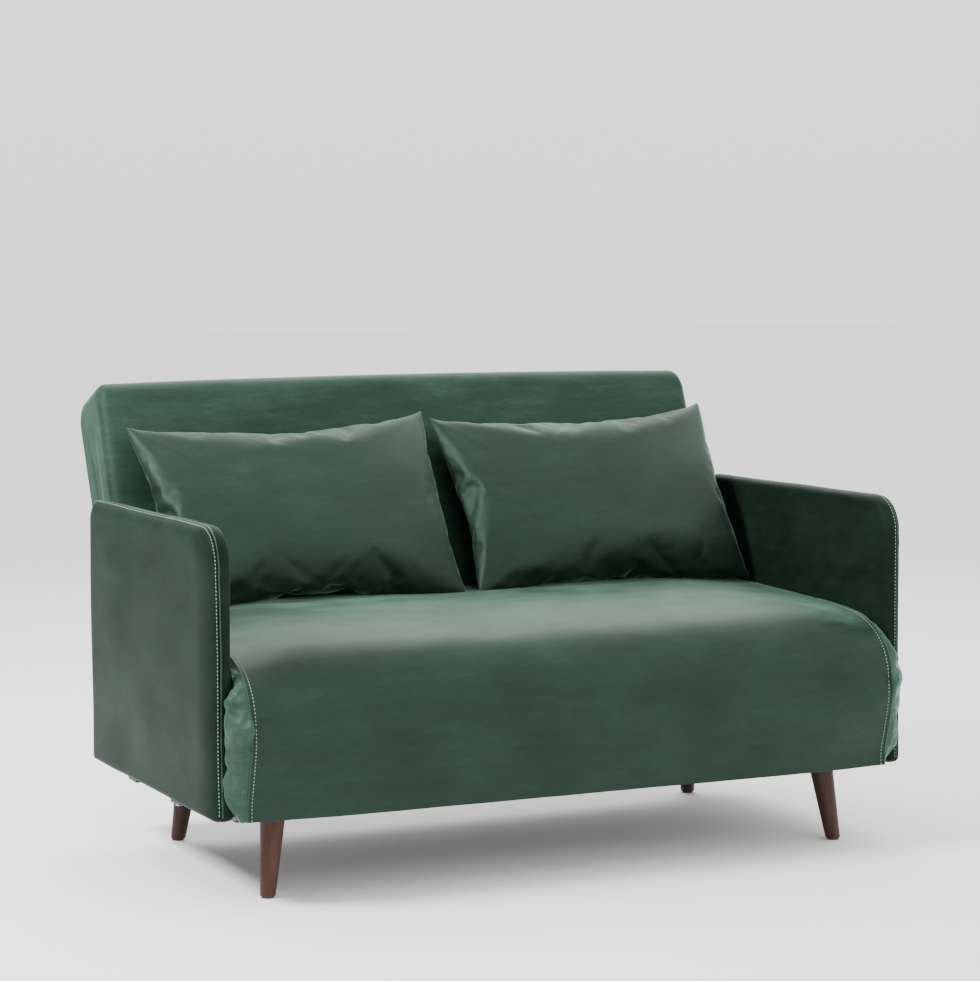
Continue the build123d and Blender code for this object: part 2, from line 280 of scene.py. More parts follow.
def fade(tree, source, start, end, low=0.0, high=1.0):
    """A smooth change from low to high while source goes from start to end."""
    made = tree.nodes.new("ShaderNodeMapRange")
    made.interpolation_type = "SMOOTHSTEP"
    for socket, value in (("From Min", start), ("From Max", end), ("To Min", low), ("To Max", high)):
        made.inputs[socket].default_value = value
    tree.links.new(source, made.inputs["Value"])
    return made.outputs["Result"]


def make_world():
    """A white room, shaded on the left and slightly dimmer below and near the horizon."""
    world = bpy.data.worlds.new("studio")
    world.use_nodes = True
    tree = world.node_tree
    background = tree.nodes["Background"]
    background.inputs["Color"].default_value = (1, 1, 1, 1)
    direction = tree.nodes.new("ShaderNodeTexCoord").outputs["Generated"]
    toward = tree.nodes.new("ShaderNodeVectorMath")
    toward.operation = "DOT_PRODUCT"
    toward.inputs[1].default_value = (1.0, 0.0, 0.3)
    tree.links.new(direction, toward.inputs[0])
    height = tree.nodes.new("ShaderNodeSeparateXYZ")
    tree.links.new(direction, height.inputs["Vector"])
    strength = tree.nodes.new("ShaderNodeMath")
    strength.operation = "MULTIPLY"
    side_shade = fade(tree, toward.outputs["Value"], -0.4, 0.15, low=0.25, high=2.1)
    haze = fade(tree, height.outputs["Z"], 0.0, 0.35, low=0.80, high=1.05)
    tree.links.new(side_shade, strength.inputs[0])
    tree.links.new(haze, strength.inputs[1])
    tree.links.new(strength.outputs["Value"], background.inputs["Strength"])
    return world


def make_floor():
    """A wide pale floor, with painted shade far out on the left."""
    half = 40.0
    corners = [(-half, -half, 0), (half, -half, 0), (half, half, 0), (-half, half, 0)]
    floor = add_mesh("floor", corners, [(0, 1, 2, 3)])
    graph = Graph("pale_floor")
    across_floor = graph.node("ShaderNodeSeparateXYZ")
    graph.link(graph.place, across_floor.inputs["Vector"])
    # painted shade: the floor's colour turns dark far out on the left, so less light comes back onto the sofa's
    # left side
    painted_light_level = fade(graph.tree, across_floor.outputs["X"], -3.4, -1.5)
    tone = graph.ramp(painted_light_level, (0.0, grey(0.20)), (1.0, grey(0.95)))
    graph.link(tone, graph.shader.inputs["Base Color"])
    graph.set(Roughness=0.9)
    floor.data.materials.append(graph.material)


# Materials ------------------------------------------------------------------------------------

VELVET_DARK = (0.0055, 0.0130, 0.0085)
VELVET_MIDDLE = (0.0095, 0.0215, 0.0145)
VELVET_PALE = (0.0180, 0.0370, 0.0260)


def grey(level):
    return (level,) * 3


class Graph:
    """A material's node tree with short calls for the nodes used here."""

    def __init__(self, name):
        self.material = bpy.data.materials.new(name)
        self.material.use_nodes = True
        self.tree = self.material.node_tree
        self.shader = self.tree.nodes["Principled BSDF"]
        self.place = self.node("ShaderNodeTexCoord").outputs["Object"]

    def node(self, kind, **settings):
        made = self.tree.nodes.new(kind)
        for key, value in settings.items():
            setattr(made, key, value)
        return made

    def link(self, source, target):
        self.tree.links.new(source, target)

    def scaled(self, stretch):
        mapping = self.node("ShaderNodeMapping")
        mapping.inputs["Scale"].default_value = stretch
        self.link(self.place, mapping.inputs["Vector"])
        return mapping.outputs["Vector"]

    def noise(self, scale, detail, roughness, stretch=(1, 1, 1)):
        made = self.node("ShaderNodeTexNoise")
        made.inputs["Scale"].default_value = scale
        made.inputs["Detail"].default_value = detail
        made.inputs["Roughness"].default_value = roughness
        self.link(self.scaled(stretch), made.inputs["Vector"])
        return made.outputs["Fac"]

    def ramp(self, source, *stops):
        made = self.node("ShaderNodeValToRGB")
        elements = made.color_ramp.elements
        while len(elements) < len(stops):
            elements.new(0.5)
        for element, (position, color) in zip(elements, stops):
            element.position = position
            element.color = (*color, 1)
        self.link(source, made.inputs["Fac"])
        return made.outputs["Color"]

    def mix(self, a, b, factor, blend="MIX"):
        made = self.node("ShaderNodeMix", data_type="RGBA", blend_type=blend)
        made.inputs["Factor"].default_value = factor
        self.link(a, made.inputs["A"])
        self.link(b, made.inputs["B"])
        return made.outputs["Result"]

    def bump(self, height, strength, distance, below=None):
        made = self.node("ShaderNodeBump")
        made.inputs["Strength"].default_value = strength
        made.inputs["Distance"].default_value = distance
        self.link(height, made.inputs["Height"])
        if below:
            self.link(below, made.inputs["Normal"])
        return made.outputs["Normal"]

    def set(self, **values):
        for key, value in values.items():
            self.shader.inputs[key.replace("_", " ")].default_value = value


def velvet(name, painted_light_level=1.0, sheen=0.5, gloss=0.26):
    """Short cotton pile: dark where it is looked into, pale where it is seen along the pile. Its second argument
    scales all its colours, so that copies of it carry painted light or painted shade.
    """
    graph = Graph(name)
    brushed = graph.noise(5.5, 3.0, 0.55, (1.0, 1.0, 1.7))
    streaks = graph.noise(24.0, 4.0, 0.62, (0.45, 0.8, 2.6))
    pile = graph.noise(900.0, 2.0, 0.7)
    weave = graph.noise(190.0, 3.0, 0.65, (0.4, 0.5, 2.8))
    # painted light or shade: the three velvet colours scaled up or down for this copy
    low, middle, high = (tuple(painted_light_level * c for c in colour)
                         for colour in (VELVET_DARK, VELVET_MIDDLE, VELVET_PALE))
    nap = graph.ramp(brushed, (0.30, low), (0.52, middle), (0.76, high))
    lines = graph.ramp(streaks, (0.30, low), (0.55, middle), (0.80, high))
    colour = graph.mix(nap, lines, 0.5)
    grain = graph.ramp(weave, (0.25, grey(0.66)), (0.8, grey(1.28)))
    colour = graph.mix(colour, grain, 0.6, "MULTIPLY")
    graph.link(colour, graph.shader.inputs["Base Color"])
    rough = graph.ramp(streaks, (0.2, grey(0.46)), (0.8, grey(0.62)))
    graph.link(rough, graph.shader.inputs["Roughness"])
    soft = graph.bump(brushed, 0.12, 0.004)
    lined = graph.bump(weave, 0.16, 0.0006, soft)
    graph.link(graph.bump(pile, 0.30, 0.0005, lined), graph.shader.inputs["Normal"])
    strokes = graph.mix(brushed, streaks, 0.5)
    raised = graph.ramp(strokes, (0.36, grey(0.55 * sheen)), (0.62, grey(1.35 * sheen)))
    graph.link(raised, graph.shader.inputs["Sheen Weight"])
    graph.set(Sheen_Roughness=0.32, Sheen_Tint=(0.46, 0.86, 0.66, 1))
    graph.set(Specular_IOR_Level=gloss, Specular_Tint=(0.62, 0.92, 0.76, 1))
    return graph.material


def thread():
    """Pale sewing thread with a fine twist."""
    graph = Graph("pale_thread")
    twist = graph.noise(1400.0, 1.0, 0.5)
    colour = graph.ramp(twist, (0.3, (0.16, 0.23, 0.19)), (0.7, (0.30, 0.39, 0.34)))
    graph.link(colour, graph.shader.inputs["Base Color"])
    graph.set(Roughness=0.6, Sheen_Weight=0.3)
    return graph.material


def wood(name, dark, middle, light, stretch, rough):
    """Timber or board; its grain runs along the axis with the smallest number in stretch."""
    graph = Graph(name)
    figure = graph.noise(9.0, 5.0, 0.6, stretch)
    fibres = graph.noise(160.0, 4.0, 0.7, stretch)
    base = graph.ramp(figure, (0.32, dark), (0.52, middle), (0.72, light))
    pores = graph.ramp(fibres, (0.38, grey(0.62)), (0.6, grey(1.1)))
    graph.link(graph.mix(base, pores, 0.7, "MULTIPLY"), graph.shader.inputs["Base Color"])
    shine = graph.ramp(fibres, (0.3, grey(rough + 0.16)), (0.7, grey(rough)))
    graph.link(shine, graph.shader.inputs["Roughness"])
    graph.link(graph.bump(fibres, 0.22, 0.0006), graph.shader.inputs["Normal"])
    graph.set(Specular_IOR_Level=0.3, Coat_Weight=0.05, Coat_Roughness=0.3)
    return graph.material


def metal(name, colour, metallic, rough):
    """Powder coat or zinc with a fine orange-peel surface and slight wear."""
    graph = Graph(name)
    peel = graph.noise(420.0, 2.0, 0.5)
    wear = graph.noise(38.0, 5.0, 0.65)
    worn = tuple(min(1.0, c * 1.5 + 0.01) for c in colour)
    graph.link(graph.ramp(wear, (0.45, colour), (0.78, worn)), graph.shader.inputs["Base Color"])
    dull = graph.ramp(wear, (0.3, grey(rough)), (0.8, grey(rough + 0.2)))
    graph.link(dull, graph.shader.inputs["Roughness"])
    graph.link(graph.bump(peel, 0.12, 0.0003), graph.shader.inputs["Normal"])
    graph.set(Metallic=metallic)
    return graph.material


def plain(name, colour, rough, size, depth):
    """Felt, rubber, plastic, lining cloth or filling: a mottled colour with a fine matching bump."""
    graph = Graph(name)
    mottle = graph.noise(size, 4.0, 0.6)
    low = tuple(c * 0.75 for c in colour)
    high = tuple(min(1.0, c * 1.3) for c in colour)
    graph.link(graph.ramp(mottle, (0.3, low), (0.7, high)), graph.shader.inputs["Base Color"])
    dull = graph.ramp(mottle, (0.3, grey(rough - 0.08)), (0.7, grey(rough + 0.05)))
    graph.link(dull, graph.shader.inputs["Roughness"])
    graph.link(graph.bump(mottle, 0.3, depth), graph.shader.inputs["Normal"])
    return graph.material


def make_materials():
    return {
        "green_velvet": velvet("green_velvet"),
        # darker and paler copies of the green velvet: painted shade on the arms, painted light on the back, the
        # gussets and the seam cords
        "arm_velvet_painted_shade": velvet("arm_velvet_painted_shade", painted_light_level=0.75, sheen=0.09, gloss=0.05),
        "back_velvet_painted_light": velvet("back_velvet_painted_light", painted_light_level=2.0, sheen=0.22, gloss=0.12),
        "painted_light_velvet": velvet("painted_light_velvet", painted_light_level=2.5, sheen=0.8),
        "pale_thread": thread(),
        "walnut": wood("walnut", (0.024, 0.0080, 0.0042), (0.048, 0.0165, 0.0088), (0.080, 0.0290, 0.0155),
                       stretch=(1, 1, 0.09), rough=0.5),
        "birch": wood("birch", (0.42, 0.28, 0.15), (0.56, 0.40, 0.24), (0.68, 0.52, 0.34),
                      stretch=(0.06, 1, 1), rough=0.5),
        "core_board": wood("core_board", (0.30, 0.21, 0.12), (0.42, 0.31, 0.19), (0.52, 0.40, 0.26),
                           stretch=(1, 0.2, 1), rough=0.7),
        "zinc_steel": metal("zinc_steel", (0.52, 0.52, 0.54), 1.0, 0.32),
        "black_steel": metal("black_steel", (0.018, 0.018, 0.020), 0.3, 0.42),
        "glide_felt": plain("glide_felt", (0.05, 0.05, 0.05), 0.9, 800.0, 0.0004),
        "black_plastic": plain("black_plastic", (0.02, 0.02, 0.02), 0.5, 300.0, 0.0002),
        "black_rubber": plain("black_rubber", (0.022, 0.022, 0.022), 0.8, 240.0, 0.0003),
        "lining_cloth": plain("lining_cloth", (0.025, 0.025, 0.027), 0.95, 600.0, 0.0005),
        "filling": plain("filling", (0.7, 0.7, 0.68), 0.95, 120.0, 0.001),
    }


def finish_piece(obj, slot, body=None, material=None, replaces=()):
    """Give a piece its material and put it under its body's empty; a blended piece passes no body."""
    obj.data.materials.clear()
    obj.data.materials.append(MATERIALS[material or slot])
    if body:
        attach(obj, body)
    if replaces:
        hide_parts(*replaces)
    return obj


def paint_cad_nodes():
    slots = {part["node"]: part["material_slot"] for part in frame["record"]["subparts"]}
    for node, obj in frame["nodes"].items():
        material = MATERIALS[slots[node]]
        if obj.material_slots:
            for slot in obj.material_slots:
                slot.material = material
        else:
            obj.data.materials.append(material)


# Stitching ------------------------------------------------------------------------------------

STITCH_PITCH, STITCH_LENGTH, STITCH_RADIUS = 6.5 * MM, 3.7 * MM, 0.75 * MM
STITCH_LIFT = 0.25 * MM
# Places along a stitch and its thickness there, as shares
STITCH_SHAPE = ((-0.5, 0.25), (-0.36, 0.85), (0.0, 1.0), (0.36, 0.85), (0.5, 0.25))
STITCH_SIDES = 6
CORD_SIDES = 8


def stitch_row(name, line, body):
    """Separate raised stitches along a line of points that lies on the cloth."""
    verts, faces = [], []
    travelled, next_at = 0.0, STITCH_PITCH / 2
    for a, b in zip(line, line[1:]):
        run = (b - a).length
        while run > 0 and next_at <= travelled + run:
            centre = a.lerp(b, (next_at - travelled) / run)
            add_stitch(verts, faces, centre, (b - a).normalized())
            next_at += STITCH_PITCH
        travelled += run
    obj = add_mesh(name, verts, faces)
    return finish_piece(obj, "green_velvet", body, "pale_thread")


def tube_faces(rows, sides):
    """The faces of a tube of equal rings, closed at both ends."""
    faces = bridge_faces(rows, sides, True)
    faces.append(tuple(reversed(range(sides))))
    faces.append(tuple((rows - 1) * sides + i for i in range(sides)))
    return faces


def add_stitch(verts, faces, centre, along):
    """One stitch: a short bead of thread with pointed ends."""
    side = along.orthogonal().normalized()
    over = along.cross(side)
    base = len(verts)
    for reach, fat in STITCH_SHAPE:
        for i in range(STITCH_SIDES):
            angle = 2 * math.pi * i / STITCH_SIDES
            rim = side * math.cos(angle) + over * math.sin(angle)
            verts.append(centre + along * reach * STITCH_LENGTH + rim * STITCH_RADIUS * fat)
    for face in tube_faces(len(STITCH_SHAPE), STITCH_SIDES):
        faces.append(tuple(base + i for i in face))


def cord_line(name, line, body, radius):
    """A thin rolled edge where two pieces of cloth are sewn together."""
    verts = []
    for index, point in enumerate(line):
        along = direction_at(line, index)
        side = along.cross(Vector((1, 0, 0)))
        side = side.normalized() if side.length > 1e-6 else Vector((0, 0, 1))
        over = along.cross(side).normalized()
        for i in range(CORD_SIDES):
            angle = 2 * math.pi * i / CORD_SIDES
            verts.append(point + radius * (side * math.cos(angle) + over * math.sin(angle)))
    obj = add_mesh(name, verts, tube_faces(len(line), CORD_SIDES))
    # seam cords in the palest velvet copy: a painted highlight along the sewn edge
    return finish_piece(obj, "green_velvet", body, "painted_light_velvet")


# Arms -----------------------------------------------------------------------------------------

SEAM_IN = 18 * MM  # the seam lies this far in from the arm's outer face
FRONT_ROUND, TOP_ROUND, REAR_ROUND, BOTTOM_ROUND = 76 * MM, 26 * MM, 44 * MM, 12 * MM
TOP_FRONT_RADIUS, TOP_REAR_RADIUS, FOOT_RADIUS = 66 * MM, 46 * MM, 14 * MM
INNER_ROUND = 15 * MM
FACE_SHARES = (0.94, 0.84, 0.7, 0.54, 0.38, 0.22, 0.08)  # ring sizes from a face's rim to its middle
SEAM_GROOVE = ((-2.5, -1.0), (-1.0, 0.8), (0.0, 3.0), (1.0, 0.6))  # place beside the seam, depth; mm
SMALLEST_RADIUS = 6 * MM
STITCHES_BESIDE_SEAM = {"left": 6.5 * MM, "right": -5.0 * MM}  # outwards from the seam


def arm_ring(side, x, inset):
    """The arm's side outline at one place across it; inset is (front, top, rear, bottom)."""
    front, top, rear, bottom = inset
    low = (ARM_LOW.y + front, ARM_LOW.z + bottom)
    high = (ARM_HIGH.y - rear, ARM_HIGH.z - top)
    shrink = min(front, top)
    radii = [max(radius - shrink, SMALLEST_RADIUS)
             for radius in (FOOT_RADIUS, FOOT_RADIUS, TOP_REAR_RADIUS, TOP_FRONT_RADIUS)]
    return [Vector((side * x, p.x, p.y)) for p in rounded_outline(low, high, radii)]


def face_rings(ring, bulge):
    """Rings that close a face: the rim ring shrunk towards its middle, rising by bulge."""
    centre = sum(ring, Vector()) / len(ring)
    middle = Vector((ring[0].x, centre.y, centre.z))
    rings = []
    for share in FACE_SHARES:
        rise = Vector((bulge * smoothstep(1 - share, 0.0, 0.5), 0, 0))
        rings.append([middle + (p - middle) * share + rise for p in ring])
    return rings


def arm_profile():
    """Places across the arm with their insets, from its inner face to its outer face."""
    inner, outer = ARM_LOW.x, ARM_HIGH.x
    seam = outer - SEAM_IN
    profile = []
    for angle in steps(0, 90, 7):
        turn = math.radians(angle)
        inset = INNER_ROUND * (1 - math.sin(turn))
        x = inner + INNER_ROUND * 0.8 * (1 - math.cos(turn))
        profile.append((x, (inset, inset * 0.8, inset, inset * 0.6)))
    for beside, depth in SEAM_GROOVE:
        profile.append((seam + beside * MM, (depth * MM,) * 4))
    rounds = (FRONT_ROUND, TOP_ROUND, REAR_ROUND, BOTTOM_ROUND)
    for angle in steps(12, 90, 9):
        turn = math.radians(angle)
        x = seam + (outer - seam) * math.sin(turn)
        profile.append((x, tuple(reach * (1 - math.cos(turn)) for reach in rounds)))
    return profile


def arm_edge_line(side, x):
    """A line near the arm's front and top edges, from the foot of its front to its top rear corner."""
    ring = arm_ring(side, x, (0.0,) * 4)
    corner = Vector((side * x, ARM_LOW.y, ARM_LOW.z))
    front_foot = min(range(len(ring)), key=lambda i: (ring[i] - corner).length)
    turned = ring[front_foot:] + ring[:front_foot]
    if turned[1].z < turned[-1].z:
        turned = [turned[0]] + turned[:0:-1]
    keep = [p for p in turned if p.z > ARM_LOW.z + 8 * MM]
    return [p for p in keep if p.y < ARM_HIGH.y - 6 * MM or p.z > ARM_HIGH.z - 60 * MM]


def arm_give(p):
    """Puckers beside the seam, strongest at the top front corner."""
    near = 1 - smoothstep(abs(abs(p.x) - ARM_HIGH.x + SEAM_IN), 2 * MM, 13 * MM)
    corner = 1 - smoothstep((Vector((p.y, p.z)) - Vector((ARM_LOW.y, ARM_HIGH.z))).length, 0.05, 0.16)
    return near * (0.25 + 0.75 * corner) * (1 if p.y < ARM_LOW.y + 0.2 else 0.4)


def make_arms():
    for name, side in SIDES.items():
        rings = [arm_ring(side, x, inset) for x, inset in arm_profile()]
        inner_face = face_rings(rings[0], -1.5 * MM * side)
        outer_face = face_rings(rings[-1], 2.5 * MM * side)
        rings = inner_face[::-1] + rings + outer_face
        arm = subdivide(closed_loft(f"arm_{name}_upholstery", rings))
        rumple(arm, 2.2 * MM, 0.17, seed=3.1 + side)
        rumple(arm, 1.6 * MM, 0.016, arm_give, 5.0 + side)
        # the arms take the darker velvet copy: painted shade
        finish_piece(arm, "green_velvet", "base", "arm_velvet_painted_shade", [f"arm_cover_{name}"])
        seam = ARM_HIGH.x - SEAM_IN
        cord = on_surface(arm_edge_line(side, seam - 1.0 * MM), arm, 0.4 * MM)
        cord_line(f"arm_{name}_seam", cord, "base", 1.2 * MM)
        row = resample(arm_edge_line(side, seam + STITCHES_BESIDE_SEAM[name]), 260)
        stitch_row(f"arm_{name}_stitches", on_surface(row, arm, STITCH_LIFT), "base")


# Seat -----------------------------------------------------------------------------------------

# The seat's front and top seen from the side, as (Y, Z) in millimetres, in its middle and at its ends
SEAT_MIDDLE = ((-475, 150), (-481, 180), (-487, 235), (-488.6, 290), (-486, 345), (-468, 396), (-425, 434),
               (-350, 452), (-200, 459), (0, 460), (120, 459), (160, 455), (176, 440))
SEAT_END = ((-461, 150), (-462, 180), (-477, 235), (-488.4, 290), (-482, 345), (-457, 386), (-408, 417),
            (-340, 432), (-200, 440), (0, 446), (120, 447), (158, 444), (172, 430))
REAR_DROP = UPPER_HIGH.z - UPPER_LOW.z
REAR_FOOT = Vector((UPPER_HIGH.y - REAR_DROP * math.tan(BACK_LEAN), UPPER_LOW.z))
PER_SPAN = 8
SKIN = 2.6 * MM  # the foam lies this far below the cover's outline
COARSE, FINE, FINEST = 45 * MM, 8 * MM, 4 * MM  # pitches across the seat and the back
SEAM_END_Y, STITCHES_END_Y = -0.22, -0.33  # where the edge seam and the upper stitches stop


def seat_profile(x):
    """The seat's outline at x, from the hem under its front over the top and down its rear."""
    end = smoothstep(abs(x), PAD_SIDE - 0.20, PAD_SIDE) ** 1.3
    shape = [Vector(a).lerp(Vector(b), end) * MM for a, b in zip(SEAT_MIDDLE, SEAT_END)]
    drop = REAR_FOOT - shape[-1]
    return catmull(shape + [shape[-1] + drop * 0.5, REAR_FOOT + Vector((0, 4 * MM))], PER_SPAN)


def offset_line(line, distance):
    """The line moved sideways to its right by distance."""
    moved = []
    for index, point in enumerate(line):
        along = direction_at(line, index)
        moved.append(point + Vector((along.y, -along.x)) * distance)
    return moved


def across(reach):
    """Places across the seat or the back, closer together towards both sides."""
    half = [0.0]
    while half[-1] < reach - 1e-6:
        pitch = lerp(FINE, COARSE, smoothstep(reach - half[-1], 0.0, 0.25))
        half.append(min(half[-1] + pitch, reach))
    if half[-1] - half[-2] < FINEST:
        half.pop(-2)
    return [-x for x in reversed(half[1:])] + half


def seat_give(p):
    """A firm front edge, and more give towards the back."""
    return 0.35 + 0.65 * smoothstep(p.y, -0.40, 0.0)


def from_edge(p, reach):
    """Nought at the seat's sides, rising to one at reach inside them."""
    return smoothstep(PAD_SIDE - abs(p.x), 0.0, reach)


def make_seat_cover():
    """One cloth over the front and top of both seat layers."""
    rows = [[Vector((x, p.x, p.y)) for p in seat_profile(x)] for x in across(PAD_SIDE)]
    count = len(rows[0])
    verts = [v for row in rows for v in row]
    faces = [tuple(reversed(face)) for face in bridge_faces(len(rows), count, False)]
    cover = subdivide(add_mesh("seat_cover", verts, faces))
    rumple(cover, 4.0 * MM, 0.22, lambda p: seat_give(p) * from_edge(p, 0.06), 1.0, (1, 1, 1.5))
    rumple(cover, 1.2 * MM, 0.06, lambda p: from_edge(p, 0.03), 7.0, (0.6, 1, 1))
    for vertex in cover.data.vertices:
        vertex.co.y = max(vertex.co.y, FOLD.y + 0.8 * MM)
    shell = cover.modifiers.new("thickness", "SOLIDIFY")
    shell.thickness = 2.0 * MM
    shell.offset = -1.0
    apply_modifiers(cover)
    bend_at_fold(cover)
    finish_piece(cover, "green_velvet")
    for name, side in SIDES.items():
        make_seat_edge(name, side, cover)
        make_gusset(name, side)


def bend_at_fold(obj):
    """Bake the object's placement into its mesh."""
    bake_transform(obj)


def make_seat_edge(name, side, cover):
    """The sewn edge of the seat's top cloth: a rolled seam and a row of stitches, split at the fold."""
    for row_name, x in (("seam", PAD_SIDE), ("stitches", PAD_SIDE - 8 * MM)):
        points = [Vector((side * x, p.x, p.y)) for p in seat_profile(x) if p.x < UPPER_HIGH.y - 0.05]
        if row_name == "stitches":
            points = on_surface(resample(points, 300), cover, STITCH_LIFT)
        parts = {
            "base": [p for p in points if p.z < FOLD.z - 1 * MM],
            "foot_section": [p for p in points if p.z > FOLD.z + 1 * MM],
        }
        for body, part in parts.items():
            level = "lower" if body == "base" else "upper"
            label = f"seat_{level}_{row_name}_{name}"
            if row_name == "seam":
                cord_line(label, [p for p in part if p.y < SEAM_END_Y], body, 1.3 * MM)
            elif level == "upper":
                stitch_row(label, [p for p in part if p.y < STITCHES_END_Y], body)
            else:
                stitch_row(label, part, body)


GUSSET_WIDTH = 35 * MM
GUSSET_LOW, GUSSET_HIGH = 150 * MM, 422 * MM
GUSSET_CREASES = (342 * MM, 243 * MM)
GUSSET_SIDES = 30
GUSSET_ROUNDS = 64
FOLD_SWELL = 17 * MM  # how far the side cloth stands out in front at the fold, and over what height


def gusset_width(z):
    """The bulge's reach beyond the seat's edge: full in the middle, pinched at its creases and ends."""
    low_end = 0.3 + 0.7 * smoothstep(z, GUSSET_LOW, GUSSET_LOW + 40 * MM)
    high_end = 1 - 0.62 * smoothstep(z, 340 * MM, 400 * MM)
    tip = 1 - smoothstep(z, GUSSET_HIGH - 22 * MM, GUSSET_HIGH + 2 * MM)
    pinch = sum(math.exp(-((z - crease) / (9 * MM)) ** 2) for crease in GUSSET_CREASES)
    return GUSSET_WIDTH * low_end * high_end * tip * (1 - 0.16 * pinch)


def front_of_seat(z):
    """The seat's front at height z, where the top cloth is sewn to the gusset."""
    line = [p for p in seat_profile(PAD_SIDE) if p.x < -0.36]
    return min(line, key=lambda p: abs(p.y - z)).x


def gusset_ring(side, z):
    """A lens in plan: from the sewn edge out over the arm's front and back behind the cover."""
    swell = FOLD_SWELL * math.exp(-((z - FOLD.z) / FOLD_SWELL) ** 2)
    front = front_of_seat(z) - swell
    rear = max(ARM_LOW.y - 2 * MM, front + 16 * MM)
    width = gusset_width(z)
    ring = []
    for turn in (math.pi * i / (GUSSET_SIDES - 1) for i in range(GUSSET_SIDES)):
        reach = math.sin(turn) ** 0.85
        depth = smoothstep(turn, 0.0, math.pi * 0.62)
        x = PAD_SIDE - 3 * MM + (width + 3 * MM) * reach
        ring.append(Vector((side * x, lerp(front, rear, depth), z)))
    return ring


def make_gusset(name, side):
    """The seat's side cloth where it swells out in front of the arm, in loose folds."""
    rings = [gusset_ring(side, z) for z in steps(GUSSET_LOW, GUSSET_HIGH, GUSSET_ROUNDS)]
    gusset = subdivide(closed_loft(f"seat_gusset_{name}", rings))
    rumple(gusset, 5.0 * MM, 0.034, gusset_share, 2.0 + side, (1.0, 1.6, 0.7))
    rumple(gusset, 2.4 * MM, 0.013, gusset_share, 4.0 + side, (1.2, 1.0, 0.8))
    for vertex in gusset.data.vertices:
        if abs(vertex.co.x) > ARM_LOW.x - 1.5 * MM:
            vertex.co.y = min(vertex.co.y, ARM_LOW.y - 0.8 * MM)
    bend_at_fold(gusset)
    # the gusset takes the palest velvet copy: painted light
    finish_piece(gusset, "green_velvet", material="painted_light_velvet")


FRONT_SAMPLES, REAR_SAMPLES = 34, 16
LAYER_INSETS = tuple(mm * MM for mm in (0.5, 4, 9, 16, 25, 36, 48, 60))  # rings across a side cloth
SIDE_DEPTH, APRON_SIDE_DEPTH = 64 * MM, 12 * MM  # the insets used on a layer's sides stay below these


def layer_outline(x, low_z, high_z, rear, inset):
    """One seat layer's closed outline at x: its front and top under the cover, then its other faces."""
    line = offset_line(seat_profile(x), SKIN + inset)
    if rear is None:
        part = [p for p in line if p.y >= low_z + inset]
        corners = [Vector((REAR_FOOT.x - inset - SKIN, low_z + inset))]
    else:
        part = [p for p in line if low_z + inset <= p.y <= high_z - inset]
        corners = [Vector((rear - inset, high_z - inset)), Vector((rear - inset, low_z + inset))]
    front = resample(part, FRONT_SAMPLES)
    closing = [front[-1]] + corners + [front[0]]
    return front + resample(closing, REAR_SAMPLES + 2)[1:-1]


SLOT_LEAST, SLOT_MOST = 1.5 * MM, 13.5 * MM


def slot_fill(p):
    """How far the side cloth swells into the slot beside the arm, at a point in (Y, Z)."""
    above_fold = smoothstep(p.y, FOLD.z, FOLD.z + 30 * MM)
    near_front = 1 - smoothstep(p.x, -0.38, -0.28)
    return lerp(SLOT_LEAST, SLOT_MOST, above_fold * near_front)


def seat_layer(name, low_z, high_z, rear, deepest):
    """A foam layer with its side cloths, which swell towards the arms."""
    rings = []
    for x in across(PAD_SIDE - 5 * MM):
        rings.append([Vector((x, p.x, p.y)) for p in layer_outline(x, low_z, high_z, rear, 0.0)])
    for side in (1, -1):
        caps = []
        for inset in (inset for inset in LAYER_INSETS if inset < deepest):
            outline = layer_outline(PAD_SIDE, low_z, high_z, rear, inset)
            swell = smoothstep(inset, 0.0, 14 * MM)
            reach = [side * (PAD_SIDE - 2 * MM + swell * slot_fill(p)) for p in outline]
            caps.append([Vector((x, p.x, p.y)) for x, p in zip(reach, outline)])
        rings = rings + caps if side > 0 else list(reversed(caps)) + rings
    return closed_loft(name, rings)


def gusset_share(p):
    """Nought at the sewn edge, rising to one 12 mm beyond it."""
    return smoothstep(abs(p.x), PAD_SIDE + 1 * MM, PAD_SIDE + 12 * MM)


def make_seat_layers():
    layers = (
        ("foot_section_mattress", "foot_section", UPPER_LOW.z + 1 * MM, UPPER_HIGH.z, None, SIDE_DEPTH,
         ["foot_section_pad"]),
        ("lower_mattress", "base", LOWER_LOW.z, LOWER_HIGH.z - 1 * MM, LOWER_HIGH.y - 1 * MM, SIDE_DEPTH,
         ["lower_seat_layer"]),
        ("apron", "base", APRON_LOW.z + 0.5 * MM, APRON_HIGH.z, APRON_HIGH.y, APRON_SIDE_DEPTH,
         ["front_apron"]),
    )
    for name, body, low_z, high_z, rear, deepest, nodes in layers:
        layer = subdivide(seat_layer(name, low_z, high_z, rear, deepest))
        rumple(layer, 1.6 * MM, 0.09, lambda p: smoothstep(p.y, 0.0, 0.1), 6.0)
        finish_piece(layer, "green_velvet", body, replaces=nodes)


# Back -----------------------------------------------------------------------------------------

BACK_LENGTH = 605 * MM  # from the hinge pins up the front face
BACK_THICK = (128 * MM, 168 * MM)  # at the hinge and at the top
BACK_HALF_LOW, BACK_HALF_TOP = PAD_SIDE, 642 * MM  # half widths between the arms and above them
BACK_WIDENS = (0.22, 0.30)  # the stretch of the front face over which it widens
BACK_TOP_RADIUS, BACK_LOW_RADIUS = 38 * MM, 12 * MM
BACK_EDGE, BACK_CORNER = 22 * MM, 34 * MM  # rounding of the side edges and of the top corners
BACK_SIDE_INSETS = (24 * MM, 36 * MM, 50 * MM, 62 * MM)
BACK_BOW, BACK_CROWN = 7 * MM, 5 * MM  # rise of the top edge in its middle, swell of the front face


